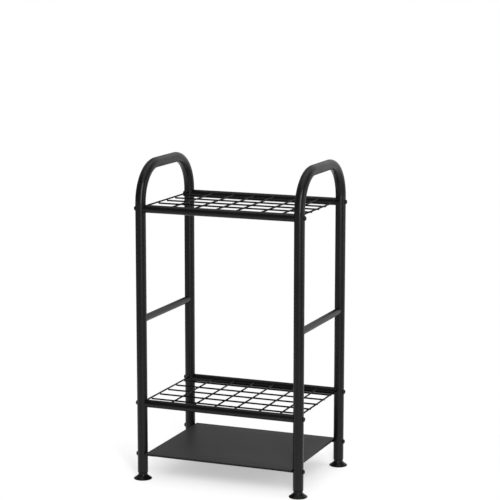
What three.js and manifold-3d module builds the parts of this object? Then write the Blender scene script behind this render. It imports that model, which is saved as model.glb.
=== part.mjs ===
// A freestanding rack for long garden tools, in millimetres, with +Z up.
// Two bent tube hoops stand side by side. Four rails, two wire grids and a base plate
// are bolted or welded between them, and each leg stands on a levelling foot.
// The origin is the middle of the footprint on the floor, and the front is -Y.
import * as THREE from "three";
import { mergeVertices } from "three/addons/utils/BufferGeometryUtils.js";
import Module from "manifold-3d";

// Hoops
const legSpacingWide = 513; // between leg centres, left to right
const legSpacingDeep = 365; // between leg centres, front to back
const overallHeight = 989.4;
const legDiameter = 32;
const legWall = 1.5;
const bendRadius = 112; // of the tube's centre line

// Bars between the legs
const lowerRailHeight = 240.6; // of the rail's centre line
const railBelowBend = 16; // of the upper rail's centre line below the start of the bends
const railDiameter = 24;
const railWall = 1.5;
const crossBarHeight = 502;
const crossBarDiameter = 21.5;
const crossBarWall = 1.5;

// Wire grids
const wireDiameter = 4.6;
const longWireRise = 0.6; // of the long wires above the rail's centre line
const longWireSetback = 1.5; // of the long wires' ends from the middle of the outermost cross wires
const endWireInset = 4.5; // of the outermost cross wires from the middle of the legs
const longWireCount = 5;
const longWireSpacing = 62.2;
const crossWireShares = [-1, -0.663, -0.367, -0.095, 0.165, 0.482, 0.75, 1]; // of the way to the end

// Base plate
const plateTopHeight = 84.9;
const plateThickness = 1.5;
const hemThickness = 6.6; // of the folded edge, from the plate's top face
const hemWidth = 20; // of the sheet that is folded back under the edge
const bushWall = 1.5;
const bushDrop = 5.9; // of the bush's middle below the plate's top face

// Bolts
const boltDiameter = 8;
const boltEngagement = 20; // of the thread in a rail or a bush
const boltTipRoom = 5; // between the bolt's tip and the end of its thread
const boltChamfer = 0.8;
const boltHeadDiameter = 14;
const boltHeadEdge = 1.4;
const boltHeadHeight = 4.4;
const boltSocketWidth = 5; // across flats
const boltSocketDepth = 2.6;

// Leg plugs
const plugFlangeThickness = 2;
const plugLength = 32; // inside the tube

// Feet
const padDiameter = 56.6;
const padEdgeHeight = 2.4;
const padShoulderDiameter = 44;
const padShoulderHeight = 6.8;
const padCrownDiameter = 31;
const padHeight = 12;
const padFloorThickness = 4;
const neckDiameter = 28.8;
const neckHeight = 7.6;
const spigotDiameter = 18;
const studDiameter = 8;
const studEngagement = 12; // left in the plug at full lift
const footLift = 15;

// Fits
const clearance = 0.3; // between neighbouring pieces
const overrun = 5; // of a cutting tool past what it cuts

// Facets
const tubeSides = 24;
const wireSides = 8;
const boreSides = 12;
const boltSides = 12;
const hexSides = 6;
const padSides = 24;
const footSides = 16;
const bendSteps = 8;
const domeSteps = 2;

const wasm = await Module();
wasm.setup();

// Finishes
const coat = { color: 0x1d1d1f, roughness: 0.42, metalness: 0.1 };
const plateCoat = { color: 0x333335, roughness: 0.5, metalness: 0.1 };
const zinc = { color: 0x141415, roughness: 0.35, metalness: 0.7 };
const plastic = { color: 0x111112, roughness: 0.38, metalness: 0 };

// Places that several pieces share
const legX = legSpacingWide / 2;
const legY = legSpacingDeep / 2;
const legRadius = legDiameter / 2;
const wireRadius = wireDiameter / 2;
const boreDiameter = boltDiameter + 2 * clearance;
const threadLength = boltEngagement + boltTipRoom;
const neckBottom = padHeight + clearance;
const plugBottom = neckBottom + neckHeight + clearance;
const legBottom = plugBottom + plugFlangeThickness + clearance;
const hoopTop = overallHeight - legRadius;
const bendBottom = hoopTop - bendRadius;
const upperRailHeight = bendBottom - railBelowBend;
const boltHeights = {
  base: plateTopHeight - bushDrop,
  lower_rail: lowerRailHeight,
  upper_rail: upperRailHeight,
};
const sides = { left: -1, right: 1 };
const faces = { front: -1, back: 1 };

/** A closed geometry as a solid that can be joined and cut. */
function toSolid(geometry) {
  const bare = geometry.clone();
  bare.deleteAttribute("normal");
  bare.deleteAttribute("uv");
  const merged = mergeVertices(bare);
  return new wasm.Manifold(
    new wasm.Mesh({
      numProp: 3,
      vertProperties: merged.getAttribute("position").array,
      triVerts: new Uint32Array(merged.getIndex().array),
    }),
  );
}

/** A solid as a geometry again. */
function toGeometry(solid) {
  const { vertProperties, triVerts } = solid.getMesh();
  const geometry = new THREE.BufferGeometry();
  geometry.setAttribute("position", new THREE.BufferAttribute(vertProperties, 3));
  geometry.setIndex(new THREE.BufferAttribute(triVerts, 1));
  geometry.computeVertexNormals();
  return geometry;
}

/** The geometries in one list joined, less those in the other. */
function combine(added, removed) {
  let solid = toSolid(added[0]);
  for (const geometry of added.slice(1)) solid = solid.add(toSolid(geometry));
  for (const geometry of removed) solid = solid.subtract(toSolid(geometry));
  return toGeometry(solid);
}

/** A round bar about the origin along the x, y or z axis. */
function roundBar(axis, diameter, length, segments) {
  const bar = new THREE.CylinderGeometry(diameter / 2, diameter / 2, length, segments);
  if (axis === "x") bar.rotateZ(-Math.PI / 2);
  if (axis === "z") bar.rotateX(Math.PI / 2);
  return bar;
}

/** A turned piece about the z axis, from pairs of radius and height. */
function turned(profile, segments) {
  const points = profile.map(([radius, height]) => new THREE.Vector2(radius, height));
  return new THREE.LatheGeometry(points, segments).rotateX(Math.PI / 2);
}

/** How far a round bar reaches sideways, at an offset from its middle. */
function reachBeside(radius, offset) {
  return Math.sqrt(Math.max(radius ** 2 - offset ** 2, 0));
}

/** What a leg takes away from a bar that ends on it, centred on the leg. */
function legCutter(barDiameter) {
  return roundBar("z", legDiameter + 2 * clearance, barDiameter + 2 * overrun, tubeSides);
}

/** A mesh with its name, finish and place. */
function piece(name, geometry, finish, x, y, z) {
  const mesh = new THREE.Mesh(geometry, new THREE.MeshStandardMaterial(finish));
  mesh.name = name;
  mesh.position.set(x, y, z);
  return mesh;
}

/** Centre line of a hoop: up the front leg, round two bends and down the back leg. */
class HoopPath extends THREE.Curve {
  constructor() {
    super();
    const bend = (side, step) => {
      const turn = (step / bendSteps) * (Math.PI / 2);
      const y = legY - bendRadius + bendRadius * Math.cos(turn);
      return new THREE.Vector3(0, side * y, bendBottom + bendRadius * Math.sin(turn));
    };
    const steps = Array.from({ length: bendSteps + 1 }, (_, step) => step);
    this.stations = [
      new THREE.Vector3(0, -legY, legBottom),
      ...steps.map((step) => bend(-1, step)),
      ...steps.map((step) => bend(1, bendSteps - step)),
      new THREE.Vector3(0, legY, legBottom),
    ];
  }

  get segments() {
    return this.stations.length - 1;
  }

  getPoint(t, target = new THREE.Vector3()) {
    const place = t * this.segments;
    const first = Math.min(Math.floor(place), this.segments - 1);
    return target.lerpVectors(this.stations[first], this.stations[first + 1], place - first);
  }

  getUtoTmapping(u) {
    return u;
  }
}

/** A bent tube with a clear hole through it at each bolt. */
function hoopGeometry() {
  const section = new THREE.Shape().absarc(0, 0, legRadius, 0, 2 * Math.PI);
  const bore = new THREE.Path().absarc(0, 0, legRadius - legWall, 0, 2 * Math.PI);
  section.holes.push(bore);
  const path = new HoopPath();
  const tube = new THREE.ExtrudeGeometry(section, {
    steps: path.segments,
    curveSegments: tubeSides / 2,
    extrudePath: path,
  });
  const hole = roundBar("x", boreDiameter, legDiameter + 2 * overrun, boreSides);
  const holes = Object.values(faces).flatMap((face) =>
    Object.values(boltHeights).map((height) => hole.clone().translate(0, face * legY, height)),
  );
  return combine([tube], holes);
}

/** A rail: a tube with a threaded plug welded in each end, shaped to sit on the legs. */
function railGeometry() {
  const hollow = legSpacingWide - legDiameter - 2 * (clearance + threadLength);
  return combine(
    [roundBar("x", railDiameter, legSpacingWide, tubeSides)],
    [
      roundBar("x", railDiameter - 2 * railWall, hollow, tubeSides),
      roundBar("x", boreDiameter, legSpacingWide, boreSides),
      legCutter(railDiameter).translate(-legX, 0, 0),
      legCutter(railDiameter).translate(legX, 0, 0),
    ],
  );
}

/** A cross bar: an open tube shaped to sit on the two legs of a hoop. */
function crossBarGeometry() {
  const inner = crossBarDiameter - 2 * crossBarWall;
  return combine(
    [roundBar("y", crossBarDiameter, legSpacingDeep, tubeSides)],
    [
      roundBar("y", inner, legSpacingDeep + 2 * overrun, tubeSides),
      legCutter(crossBarDiameter).translate(0, -legY, 0),
      legCutter(crossBarDiameter).translate(0, legY, 0),
    ],
  );
}

/** The wires of one grid, which lie between the rails at the given height. */
function gridPieces(level, railHeight) {
  const longHeight = railHeight + longWireRise;
  const crossHeight = longHeight + wireDiameter + clearance;
  const endX = legX - endWireInset;
  const longGeometry = roundBar("x", wireDiameter, 2 * (endX - longWireSetback), wireSides);
  const longWires = Array.from({ length: longWireCount }, (_, i) => {
    const y = (i - (longWireCount - 1) / 2) * longWireSpacing;
    return piece(`${level}_long_wire_${i + 1}`, longGeometry, coat, 0, y, longHeight);
  });
  const crossWires = crossWireShares.map((share, i) => {
    const reach = Math.abs(share) < 1 ? reachOfInnerWire(crossHeight - railHeight) : reachOfEndWire();
    const geometry = roundBar("y", wireDiameter, 2 * reach, wireSides);
    return piece(`${level}_cross_wire_${i + 1}`, geometry, coat, share * endX, 0, crossHeight);
  });
  return [...longWires, ...crossWires];
}

/** Half the length of a cross wire that ends on the rails. */
function reachOfInnerWire(rise) {
  const nearest = Math.max(Math.abs(rise) - wireRadius, 0);
  return legY - reachBeside(railDiameter / 2, nearest) - clearance;
}

/** Half the length of a cross wire that ends on the legs. */
function reachOfEndWire() {
  const nearest = Math.max(endWireInset - wireRadius, 0);
  return legY - reachBeside(legRadius, nearest) - clearance;
}

/** The base plate: a sheet with its edges folded down and back under, and a bush at each leg. */
function plateGeometry() {
  const length = legSpacingWide - legDiameter - 2 * clearance;
  const depth = legSpacingDeep + legDiameter;
  const slab = (inset, depthBelow, thickness) =>
    new THREE.BoxGeometry(length - 2 * inset, depth - 2 * inset, thickness)
      .translate(0, 0, -depthBelow - thickness / 2);
  const corners = Object.values(sides).flatMap((side) =>
    Object.values(faces).map((face) => [side * (length - threadLength) / 2, face * legY]),
  );
  const bush = roundBar("x", boreDiameter + 2 * bushWall, threadLength, boreSides);
  const thread = roundBar("x", boreDiameter, threadLength + 2 * overrun, boreSides);
  const atCorners = (shape) => corners.map(([x, y]) => shape.clone().translate(x, y, -bushDrop));
  const fold = slab(plateThickness, plateThickness, hemThickness - 2 * plateThickness);
  const mouth = slab(hemWidth, plateThickness, hemThickness);
  const sheet = combine([slab(0, 0, hemThickness)], [fold, mouth]);
  return combine([sheet, ...atCorners(bush)], atCorners(thread));
}

/** A dome head bolt along +X, with the underside of its head at the origin. */
function boltGeometry() {
  const shankRadius = boltDiameter / 2;
  const headRadius = boltHeadDiameter / 2;
  const tip = -(clearance + legDiameter + clearance + boltEngagement);
  const dome = Array.from({ length: domeSteps }, (_, i) => {
    const turn = (i / domeSteps) * (Math.PI / 2);
    const rise = (boltHeadHeight - boltHeadEdge) * Math.sin(turn);
    return [headRadius * Math.cos(turn), boltHeadEdge + rise];
  });
  const blank = turned(
    [
      [0, tip],
      [shankRadius - boltChamfer, tip],
      [shankRadius, tip + boltChamfer],
      [shankRadius, 0],
      [headRadius, 0],
      ...dome,
      [0, boltHeadHeight],
    ],
    boltSides,
  );
  const socketRadius = boltSocketWidth / Math.sqrt(3);
  const socket = roundBar("z", 2 * socketRadius, 2 * boltSocketDepth, hexSides);
  socket.translate(0, 0, boltHeadHeight);
  return combine([blank], [socket]).rotateY(Math.PI / 2);
}

/** The plug in a leg's end, with a flange under the tube and a thread for the foot. */
function plugGeometry() {
  const boreRadius = studDiameter / 2 + clearance;
  const bodyRadius = legRadius - legWall - clearance;
  const top = plugFlangeThickness + plugLength;
  return turned(
    [
      [boreRadius, 0],
      [legRadius, 0],
      [legRadius, plugFlangeThickness],
      [bodyRadius, plugFlangeThickness],
      [bodyRadius, top],
      [boreRadius, top],
      [boreRadius, 0],
    ],
    footSides,
  );
}

/** The foot's screw: a spigot in the pad, a neck to turn it by and a threaded stud. */
function footScrewGeometry() {
  const spigotBottom = padFloorThickness + clearance - neckBottom;
  const studTop = neckHeight + clearance + footLift + studEngagement;
  return turned(
    [
      [0, spigotBottom],
      [spigotDiameter / 2, spigotBottom],
      [spigotDiameter / 2, 0],
      [neckDiameter / 2, 0],
      [neckDiameter / 2, neckHeight],
      [studDiameter / 2, neckHeight],
      [studDiameter / 2, studTop],
      [0, studTop],
    ],
    footSides,
  );
}

/** The foot's pad: a low moulded bell with a round socket for the screw's spigot. */
function padGeometry() {
  const socketRadius = spigotDiameter / 2 + clearance;
  return turned(
    [
      [0, 0],
      [padDiameter / 2, 0],
      [padDiameter / 2, padEdgeHeight],
      [padShoulderDiameter / 2, padShoulderHeight],
      [padCrownDiameter / 2, padHeight],
      [socketRadius, padHeight],
      [socketRadius, padFloorThickness],
      [0, padFloorThickness],
    ],
    padSides,
  );
}

/** The hoops with their cross bars. */
function hoopPieces() {
  const hoop = hoopGeometry();
  const crossBar = crossBarGeometry();
  return Object.entries(sides).flatMap(([name, side]) => [
    piece(`${name}_hoop`, hoop, coat, side * legX, 0, 0),
    piece(`${name}_cross_bar`, crossBar, coat, side * legX, 0, crossBarHeight),
  ]);
}

/** The front and back rails of one grid. */
function railPieces(level, railHeight) {
  const rail = railGeometry();
  return Object.entries(faces).map(([name, face]) =>
    piece(`${level}_${name}_rail`, rail, coat, 0, face * legY, railHeight),
  );
}

/** The bolts of one leg, screwed in from outside. */
function boltPieces(corner, side, face) {
  const bolt = boltGeometry();
  const seat = side * (legX + legRadius + clearance);
  return Object.entries(boltHeights).map(([place, height]) => {
    const mesh = piece(`${place}_bolt_${corner}`, bolt, zinc, seat, face * legY, height);
    mesh.rotation.z = side > 0 ? 0 : Math.PI;
    return mesh;
  });
}

/** The plug, screw and pad under one leg. */
function footPieces(corner, side, face) {
  const [x, y] = [side * legX, face * legY];
  return [
    piece(`leg_plug_${corner}`, plugGeometry(), plastic, x, y, plugBottom),
    piece(`foot_screw_${corner}`, footScrewGeometry(), zinc, x, y, neckBottom),
    piece(`foot_pad_${corner}`, padGeometry(), plastic, x, y, 0),
  ];
}

const rack = new THREE.Group();
rack.add(...hoopPieces());
rack.add(piece("base_plate", plateGeometry(), plateCoat, 0, 0, plateTopHeight));
for (const [level, height] of [["lower", lowerRailHeight], ["upper", upperRailHeight]]) {
  const shelf = new THREE.Group();
  shelf.add(...railPieces(level, height), ...gridPieces(level, height));
  rack.add(shelf);
}
for (const [sideName, side] of Object.entries(sides)) {
  for (const [faceName, face] of Object.entries(faces)) {
    const corner = `${faceName}_${sideName}`;
    rack.add(...boltPieces(corner, side, face), ...footPieces(corner, side, face));
  }
}

export default rack;
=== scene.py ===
"""A freestanding steel rack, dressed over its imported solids.

Two bent tube hoops carry four rails, two wire grids and a base plate, and each leg stands
on a levelling foot. Sizes are in metres, in the frame of the solids: +Z is up, the front
is -Y and the origin is the middle of the footprint on the floor.
"""

from __future__ import annotations

import logging
import math
from dataclasses import dataclass, field
from enum import Enum
from functools import cache
from typing import Any, Iterable, Mapping, Sequence

import bmesh
import bpy
import numpy as np
from mathutils import Matrix, Vector


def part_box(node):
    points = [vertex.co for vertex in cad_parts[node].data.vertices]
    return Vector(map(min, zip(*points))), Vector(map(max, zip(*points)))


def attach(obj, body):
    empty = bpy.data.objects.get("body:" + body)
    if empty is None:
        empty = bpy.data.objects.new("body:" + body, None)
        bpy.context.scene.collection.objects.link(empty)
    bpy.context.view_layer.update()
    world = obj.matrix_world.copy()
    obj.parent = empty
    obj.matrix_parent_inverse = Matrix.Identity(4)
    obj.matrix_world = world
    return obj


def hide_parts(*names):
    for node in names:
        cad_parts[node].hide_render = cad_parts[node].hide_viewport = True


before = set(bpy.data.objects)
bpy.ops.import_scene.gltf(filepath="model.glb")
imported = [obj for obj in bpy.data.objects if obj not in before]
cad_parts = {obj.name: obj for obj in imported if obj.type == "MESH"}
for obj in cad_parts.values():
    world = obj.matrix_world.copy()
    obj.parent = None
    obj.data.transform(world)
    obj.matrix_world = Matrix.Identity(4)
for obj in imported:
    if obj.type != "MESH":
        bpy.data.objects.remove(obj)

LOG = logging.getLogger("garden_tool_rack")
MM = 0.001
TURN = 2 * math.pi
MERGE = 1e-7  # points nearer than this are one point
CREASE = 32.0  # degrees that an edge turns by before it looks sharp
NOISE_MIDDLE = 0.5  # what smooth noise swings about
CLOUD_RANGE = (0.3, 0.7)  # of smooth noise, from clear to cloud
RIM_SHARE = 0.3  # of a rim's rounding that its middle ring lies inside the corner
WIRE_STATIONS = 6  # points along a wire, three on each half
WIRE_SHOULDER_SHARE = 0.3  # of the narrowing of a wire's end, one point before it
NUGGET_SIDES, NUGGET_RINGS = 12, 8
NUGGET_SPREAD = (0.9, 1.1)  # a weld nugget's shares of its radius
BEAD_SIDES = 10
RIDGE_START = 0.6  # of a pitch, from a thread's tip to its first ridge
RIDGE_SHARES = (0.05, 0.42, 0.55, 0.92)  # of a pitch, where a ridge rises and falls

Triple = tuple[float, float, float]
Colour = Triple
Span = tuple[float, float]


class Side(Enum):
    """The two hoops."""

    LEFT = -1
    RIGHT = 1


class Face(Enum):
    """The two long faces of the rack."""

    FRONT = -1
    BACK = 1


class Level(Enum):
    """The two wire grids."""

    LOWER = "lower"
    UPPER = "upper"


class Ends(Enum):
    """How the first and last ring of a skin are closed."""

    CAPPED = "each by a face of its own"
    LOOPED = "by joining the last ring to the first"


class Axis(Enum):
    """The direction that a bar lies in."""

    X = "x"
    Y = "y"


@dataclass(frozen=True)
class Corner:
    """One of the four legs."""

    face: Face
    side: Side

    @property
    def name(self) -> str:
        """The corner's part of a node's name."""
        return f"{self.face.name}_{self.side.name}".lower()

    @property
    def place(self) -> Vector:
        """The middle of the leg at floor height."""
        pad = middle(f"foot_pad_{self.name}")
        return Vector((pad.x, pad.y, 0))


CORNERS = [Corner(face, side) for face in Face for side in Side]


@cache
def box(node: str) -> tuple[Vector, Vector]:
    """A node's lowest and highest corners."""
    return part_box(node)


def middle(node: str) -> Vector:
    """The middle of a node's box."""
    low, high = box(node)
    return (low + high) / 2


def extent(node: str) -> Vector:
    """The size of a node's box along each axis."""
    low, high = box(node)
    return high - low


# Node trees, for materials and for shapes


class Value:
    """An output socket that Python's operators add Math nodes to."""

    def __init__(self, graph: Graph, socket: bpy.types.NodeSocket) -> None:
        """Wraps an output socket of a graph."""
        self.graph = graph
        self.socket = socket

    def other(self, output: str) -> Value:
        """Another output of the same node."""
        return Value(self.graph, found(self.socket.node.outputs, output))

    def __add__(self, more: Value | float) -> Value:
        """Sum."""
        return self.graph.math("ADD", self, more)

    def __radd__(self, more: float) -> Value:
        """Sum with a number in front."""
        return self.graph.math("ADD", more, self)

    def __sub__(self, less: Value | float) -> Value:
        """Difference."""
        return self.graph.math("SUBTRACT", self, less)

    def __rsub__(self, start: float) -> Value:
        """Difference from a number in front."""
        return self.graph.math("SUBTRACT", start, self)

    def __mul__(self, times: Value | float) -> Value:
        """Product."""
        return self.graph.math("MULTIPLY", self, times)

    def __rmul__(self, times: float) -> Value:
        """Product with a number in front."""
        return self.graph.math("MULTIPLY", times, self)

    def __truediv__(self, by: Value | float) -> Value:
        """Quotient."""
        return self.graph.math("DIVIDE", self, by)

    def __gt__(self, limit: Value | float) -> Value:
        """1 where the value is above the limit, and 0 elsewhere."""
        return self.graph.math("GREATER_THAN", self, limit)

    def __lt__(self, limit: Value | float) -> Value:
        """1 where the value is below the limit, and 0 elsewhere."""
        return self.graph.math("LESS_THAN", self, limit)

    def __abs__(self) -> Value:
        """The value without its sign."""
        return self.graph.math("ABSOLUTE", self)

    def sine(self) -> Value:
        """The sine of the value."""
        return self.graph.math("SINE", self)

    def ramp(self, low: float, high: float) -> Value:
        """A smooth rise from 0 at the low value to 1 at the high one."""
        sockets = {"Value": self, "From Min": low, "From Max": high}
        return self.graph.add("ShaderNodeMapRange", {"interpolation_type": "SMOOTHSTEP"}, sockets)


def found(sockets: Iterable[bpy.types.NodeSocket], key: str | int) -> bpy.types.NodeSocket:
    """Finds a socket in use by its identifier, name or place.

    Args:
        sockets: the sockets of one side of a node.
        key: an identifier, a name, or a place among the sockets in use.

    Returns:
        The socket.
    """
    used = [socket for socket in sockets if socket.enabled]
    if isinstance(key, int):
        return used[key]
    return next(s for s in used if key in (s.identifier, s.name))


class Graph:
    """Builds a node tree."""

    def __init__(self, tree: bpy.types.NodeTree) -> None:
        """Keeps the tree to build."""
        self.tree = tree

    def add(
        self,
        kind: str,
        settings: Mapping[str, Any] | None = None,
        inputs: Mapping[str | int, Any] | None = None,
        output: str | int = 0,
    ) -> Value:
        """Adds a node.

        Args:
            kind: the node's type.
            settings: its properties, which are set first.
            inputs: a value, or a link, for each socket that is named.
            output: the output that is returned.

        Returns:
            The node's output.
        """
        node = self.tree.nodes.new(kind)
        for key, setting in (settings or {}).items():
            setattr(node, key, setting)
        for key, value in (inputs or {}).items():
            socket = found(node.inputs, key)
            if isinstance(value, Value):
                self.tree.links.new(value.socket, socket)
            elif socket.type == "RGBA":
                socket.default_value = (*value, 1)
            else:
                socket.default_value = value
        return Value(self, found(node.outputs, output) if node.outputs else None)

    def math(self, operation: str, *values: Value | float) -> Value:
        """Adds a Math node."""
        return self.add("ShaderNodeMath", {"operation": operation}, dict(enumerate(values)))

    def noise(self, place: Value, scale: float, detail: float = 2.0) -> Value:
        """Adds smooth noise with so many cells a metre."""
        sockets = {"Vector": place, "Scale": scale, "Detail": detail}
        return self.add("ShaderNodeTexNoise", {}, sockets)

    def mix(self, share: Value, low: Value | Colour, high: Value | Colour) -> Value:
        """Blends from the low colour, where the share is 0, to the high one, where it is 1."""
        sockets = {"Factor_Float": share, "A_Color": low, "B_Color": high}
        return self.add("ShaderNodeMix", {"data_type": "RGBA"}, sockets, "Result_Color")

    def along(self, place: Value, axis: str) -> Value:
        """One coordinate of a place."""
        return self.add("ShaderNodeSeparateXYZ", {}, {"Vector": place}, axis)

    def stretched(self, place: Value, scale: Triple) -> Value:
        """Stretches the coordinates of a pattern."""
        return self.add("ShaderNodeMapping", {}, {"Vector": place, "Scale": scale})

    def random(self, low: float, high: float, seed: Value) -> Value:
        """Adds a random number for each instance."""
        sockets = {"Min": low, "Max": high, "Seed": seed}
        return self.add("FunctionNodeRandomValue", {"data_type": "FLOAT"}, sockets)

    def bump(self, height: Value, rise: float, normal: Value | None = None) -> Value:
        """Raises the surface where a value is high.

        Args:
            height: the value.
            rise: how far the surface rises where the value is 1, in metres.
            normal: an earlier bump that this one adds to.

        Returns:
            The normal.
        """
        sockets = {"Height": height, "Distance": rise, "Strength": 1.0}
        if normal is not None:
            sockets["Normal"] = normal
        return self.add("ShaderNodeBump", {}, sockets)


class Recipe:
    """A geometry node tree with named inputs, which is run once over a mesh."""

    SORTS = {
        float: "NodeSocketFloat",
        int: "NodeSocketInt",
        bpy.types.Object: "NodeSocketObject",
        bpy.types.Material: "NodeSocketMaterial",
    }

    def __init__(self, name: str, inputs: Mapping[str, type]) -> None:
        """Starts the tree.

        Args:
            name: the tree's name.
            inputs: the sort of each named input, besides the mesh and its finish.
        """
        self.tree = bpy.data.node_groups.new(name, "GeometryNodeTree")
        self.graph = Graph(self.tree)
        face = self.tree.interface
        face.new_socket(name="Base", in_out="INPUT", socket_type="NodeSocketGeometry")
        for title, sort in {**inputs, "Finish": bpy.types.Material}.items():
            face.new_socket(name=title, in_out="INPUT", socket_type=self.SORTS[sort])
        face.new_socket(name="Shape", in_out="OUTPUT", socket_type="NodeSocketGeometry")
        self.base = self.graph.add("NodeGroupInput")

    def __getitem__(self, title: str) -> Value:
        """A named input."""
        return self.base.other(title)

    def end(self, shape: Value) -> Recipe:
        """Ends the tree.

        Args:
            shape: what the tree makes, instances included.

        Returns:
            The recipe.
        """
        add = self.graph.add
        shape = add("GeometryNodeRealizeInstances", {}, {"Geometry": shape})
        shape = add("GeometryNodeSetMaterial", {}, {"Geometry": shape, "Material": self["Finish"]})
        add("NodeGroupOutput", {}, {"Shape": shape})
        return self

    def run(self, name: str, base: bpy.types.Mesh, values: Mapping[str, Any]) -> bpy.types.Mesh:
        """Runs the tree.

        Args:
            name: the name of the new mesh.
            base: the mesh that it starts from.
            values: a value for each named input.

        Returns:
            The plain mesh.
        """
        holder = shown(name, base)
        modifier = holder.modifiers.new(self.tree.name, "NODES")
        modifier.node_group = self.tree
        for item in self.tree.interface.items_tree:
            if item.name in values:
                modifier[item.identifier] = values[item.name]
        made = settled(name, holder)
        holder.modifiers.remove(modifier)
        bpy.data.objects.remove(holder)
        return made


# Making and changing meshes


def shown(name: str, mesh: bpy.types.Mesh) -> bpy.types.Object:
    """Puts a mesh into the scene.

    Args:
        name: the object's name.
        mesh: the mesh.

    Returns:
        The object, at the origin.
    """
    made = bpy.data.objects.new(name, mesh)
    bpy.context.scene.collection.objects.link(made)
    return made


def settled(name: str, holder: bpy.types.Object) -> bpy.types.Mesh:
    """A plain copy of an object's mesh as its modifiers leave it.

    Args:
        name: the name of the copy.
        holder: the object.

    Returns:
        The copy.
    """
    depsgraph = bpy.context.evaluated_depsgraph_get()
    made = bpy.data.meshes.new_from_object(holder.evaluated_get(depsgraph))
    made.name = name
    return made


def cleaned(mesh: bpy.types.Mesh) -> bpy.types.Mesh:
    """Merges a closed mesh's doubled points and turns its faces outwards.

    Args:
        mesh: the mesh, which is changed.

    Returns:
        The same mesh.
    """
    shell = bmesh.new()
    shell.from_mesh(mesh)
    bmesh.ops.remove_doubles(shell, verts=shell.verts, dist=MERGE)
    bmesh.ops.recalc_face_normals(shell, faces=shell.faces)
    shell.to_mesh(mesh)
    shell.free()
    return mesh


def skinned(name: str, rings: Sequence[np.ndarray], ends: Ends) -> bpy.types.Mesh:
    """Stretches a closed skin over rings of points.

    Args:
        name: the mesh's name.
        rings: the rings in order, all with as many points.
        ends: how the first and last rings are closed.

    Returns:
        The mesh.
    """
    count, around = len(rings), len(rings[0])
    faces = []
    for ring in range(count if ends is Ends.LOOPED else count - 1):
        here, there = ring * around, (ring + 1) % count * around
        for place in range(around):
            after = (place + 1) % around
            faces.append((here + place, here + after, there + after, there + place))
    if ends is Ends.CAPPED:
        faces += [range(around), range((count - 1) * around, count * around)]
    mesh = bpy.data.meshes.new(name)
    mesh.from_pydata(np.concatenate(rings).tolist(), [], [tuple(face) for face in faces])
    return cleaned(mesh)


def points_mesh(
    name: str, points: Sequence[Sequence[float]], turns: Sequence[float] = ()
) -> bpy.types.Mesh:
    """A mesh of loose points for a recipe to put things on.

    Args:
        name: the mesh's name.
        points: the places.
        turns: how far what stands at each place is turned about Z, if that varies.

    Returns:
        The mesh, with the turns as its attribute "turn".
    """
    mesh = bpy.data.meshes.new(name)
    mesh.from_pydata([tuple(point) for point in points], [], [])
    if turns:
        mesh.attributes.new("turn", "FLOAT", "POINT").data.foreach_set("value", list(turns))
    return mesh


def path_mesh(name: str, paths: Sequence[np.ndarray], closed: bool) -> bpy.types.Mesh:
    """A mesh of edges for a recipe to follow.

    Args:
        name: the mesh's name.
        paths: the points of each path.
        closed: whether each path ends where it starts.

    Returns:
        The mesh.
    """
    edges, start = [], 0
    for path in paths:
        count = len(path)
        steps = count if closed else count - 1
        edges += [(start + step, start + (step + 1) % count) for step in range(steps)]
        start += count
    mesh = bpy.data.meshes.new(name)
    mesh.from_pydata(np.concatenate(paths).tolist(), edges, [])
    return mesh


def joined(name: str, meshes: Iterable[bpy.types.Mesh]) -> bpy.types.Mesh:
    """Several meshes as one.

    Args:
        name: the name of the new mesh.
        meshes: the meshes, of which the first one with materials gives them to the new one.

    Returns:
        The new mesh.
    """
    shell = bmesh.new()
    materials = []
    for mesh in meshes:
        shell.from_mesh(mesh)
        materials = materials or list(mesh.materials)
    made = bpy.data.meshes.new(name)
    shell.to_mesh(made)
    shell.free()
    for material in materials:
        made.materials.append(material)
    return made


def moved(
    mesh: bpy.types.Mesh, place: Sequence[float], turn: float = 0.0, axis: str = "Z"
) -> bpy.types.Mesh:
    """A copy of a mesh, turned about an axis through the origin and then moved.

    Args:
        mesh: the mesh.
        place: where its origin goes.
        turn: how far it is turned first.
        axis: the axis that it is turned about.

    Returns:
        The copy.
    """
    made = mesh.copy()
    made.transform(Matrix.Translation(Vector(place)) @ Matrix.Rotation(turn, 4, axis))
    return made


def worked(mesh: bpy.types.Mesh, shape: bpy.types.Mesh, operation: str) -> bpy.types.Mesh:
    """Cuts a shape from a mesh, or joins it on.

    Args:
        mesh: the closed mesh that is worked on.
        shape: the closed mesh that is cut from it or joined on.
        operation: DIFFERENCE or UNION.

    Returns:
        The new mesh.
    """
    body, other = shown("work", mesh), shown("shape", shape)
    modifier = body.modifiers.new("work", "BOOLEAN")
    modifier.operation, modifier.solver, modifier.object = operation, "EXACT", other
    made = settled(mesh.name, body)
    for helper in (body, other):
        bpy.data.objects.remove(helper)
    return made


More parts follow.
